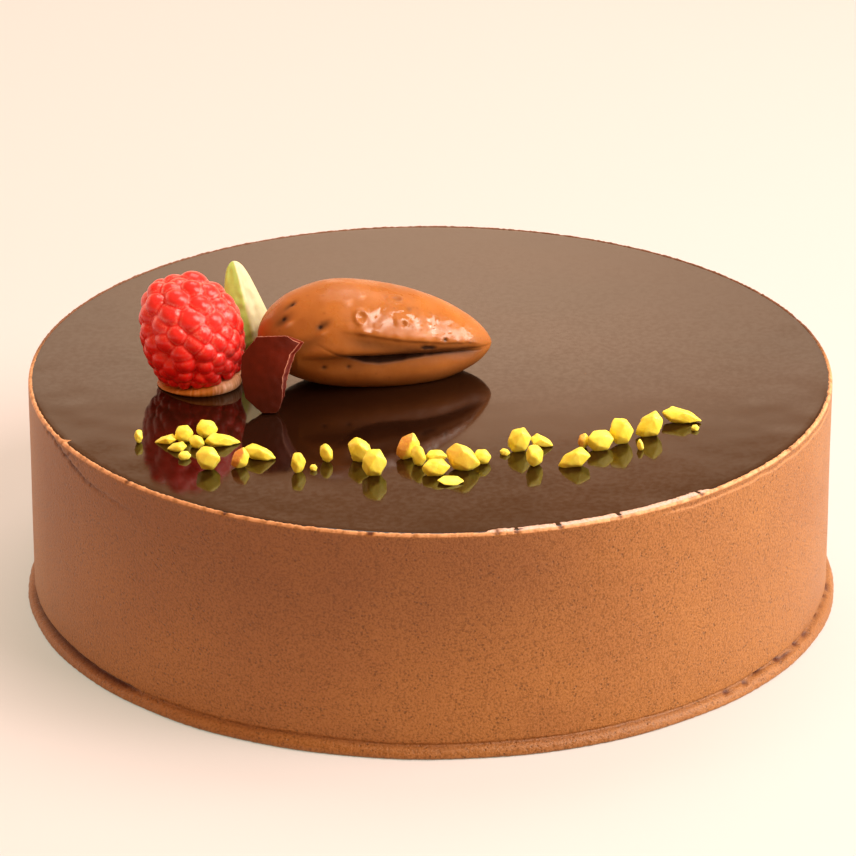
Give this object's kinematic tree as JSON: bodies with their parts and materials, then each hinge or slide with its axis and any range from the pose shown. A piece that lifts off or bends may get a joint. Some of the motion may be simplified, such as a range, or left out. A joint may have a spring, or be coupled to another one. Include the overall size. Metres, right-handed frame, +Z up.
{
  "type": "chocolate cake",
  "caption": "Round chocolate mousse cake with mirror glaze, topped with a mousse quenelle, a raspberry, a chocolate shard and chopped pistachios.",
  "frame": {"origin": "centre of the cake's foot, on the plane that it stands on", "axes": "+Z up, -Y towards the row of chopped nuts, +X to the right as seen from there"},
  "size_m": [0.1631, 0.1637, 0.0685],
  "materials": {
    "coat": "satin milk chocolate mousse coat with a fine porous grain",
    "glaze": "wet mirror gloss, dark chocolate",
    "mousse": "smooth half gloss chocolate mousse",
    "berry": "soft shiny raspberry skin",
    "dark_chocolate": "tempered dark chocolate with a soft sheen",
    "pistachio": "matte peeled pistachio kernel, yellow green"
  },
  "bodies": {
    "root": {"cake_body": "coat", "glaze": "glaze", "quenelle": "mousse", "mousse_dab": "mousse", "raspberry": "berry", "chocolate_shard": "dark_chocolate", "pistachio_half": "pistachio"}
  },
  "joints": []
}
